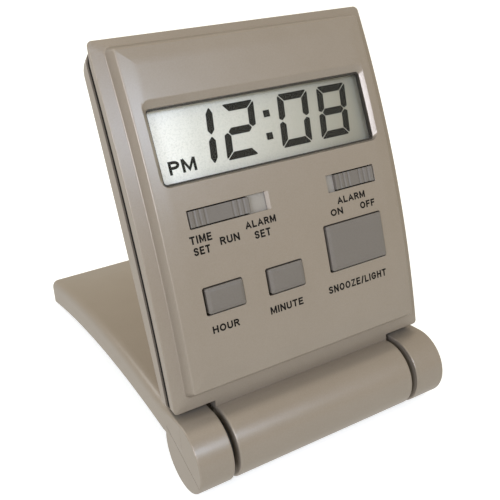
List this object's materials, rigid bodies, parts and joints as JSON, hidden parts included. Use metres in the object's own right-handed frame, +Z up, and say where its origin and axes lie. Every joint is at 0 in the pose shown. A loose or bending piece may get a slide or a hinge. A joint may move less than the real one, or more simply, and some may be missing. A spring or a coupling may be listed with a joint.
{
  "type": "travel alarm clock",
  "caption": "Folding travel alarm clock: a display leaf and a hollow lid on one barrel hinge; the opened lid is the stand.",
  "frame": {"origin": "middle of the underside of the open clock's box, on the table", "axes": "+X along the hinge to the viewer's right, +Y from the front of the clock to its back, +Z up"},
  "size_m": [0.074, 0.106, 0.0982],
  "materials": {
    "painted_abs": "satin warm silver paint on moulded ABS",
    "control_plastic": "fine satin grey ABS",
    "black_plastic": "moulded black",
    "black_rubber": "smooth black rubber",
    "clear_lens": "clear polished acrylic",
    "lcd_glass": "grey-green reflective display with dark segments",
    "diffuser": "milky white",
    "circuit_board": "green solder mask",
    "steel": "nickel-plated steel",
    "brass": "thin brass sheet",
    "cell_sleeve": "printed plastic sleeve, plain"
  },
  "bodies": {
    "stand": {"stand_lid": "painted_abs", "hinge_pin_left": "steel", "hinge_pin_right": "steel", "friction_washer_left": "black_rubber", "friction_washer_right": "black_rubber"},
    "clock": {"front_bezel": "painted_abs", "middle_frame": "black_plastic", "back_cover": "painted_abs", "display_lens": "clear_lens", "display_holder": "black_plastic", "lcd_glass": "lcd_glass", "backlight_diffuser": "diffuser", "backlight_led": "diffuser", "zebra_strip_upper": "black_rubber", "zebra_strip_lower": "black_rubber", "circuit_board": "circuit_board", "chip_blob": "black_plastic", "crystal_can": "steel", "capacitor": "brass", "hour_switch": "black_plastic", "minute_switch": "black_plastic", "snooze_switch": "black_plastic", "piezo_disc": "brass", "negative_terminal": "steel", "positive_terminal": "steel", "battery_spring": "steel", "battery": "cell_sleeve", "case_screw_1": "steel", "case_screw_2": "steel", "case_screw_3": "steel", "case_screw_4": "steel", "board_screw_1": "steel", "board_screw_2": "steel", "board_screw_3": "steel"},
    "hour_button": {"hour_button": "control_plastic"},
    "minute_button": {"minute_button": "control_plastic"},
    "snooze_button": {"snooze_button": "control_plastic"},
    "mode_slider": {"mode_slider": "control_plastic", "mode_wiper": "brass"},
    "alarm_slider": {"alarm_slider": "control_plastic", "alarm_wiper": "brass"},
    "battery_door": {"battery_door": "painted_abs"}
  },
  "joints": [
    {"name": "lid_hinge", "type": "hinge", "parent": "stand", "child": "clock", "pos_m": [0, -0.04391, 0.00907], "axis": [1, 0, 0], "range_deg": [0, 287.29]},
    {"name": "hour_press", "type": "slide", "parent": "clock", "child": "hour_button", "axis": [0, 0.9389, -0.3442], "range_m": [0, 0.0006], "stiffness_N_per_m": 800},
    {"name": "minute_press", "type": "slide", "parent": "clock", "child": "minute_button", "axis": [0, 0.9389, -0.3442], "range_m": [0, 0.0006], "stiffness_N_per_m": 800},
    {"name": "snooze_press", "type": "slide", "parent": "clock", "child": "snooze_button", "axis": [0, 0.9347, -0.3554], "range_m": [0, 0.0006], "stiffness_N_per_m": 800},
    {"name": "mode_slide", "type": "slide", "parent": "clock", "child": "mode_slider", "axis": [1, 0, 0], "range_m": [0, 0.0044]},
    {"name": "alarm_slide", "type": "slide", "parent": "clock", "child": "alarm_slider", "axis": [-1, 0, 0], "range_m": [0, 0.0023]},
    {"name": "door_release", "type": "slide", "parent": "clock", "child": "battery_door", "axis": [0, 0.6027, -0.798], "range_m": [0, 0.01]}
  ]
}
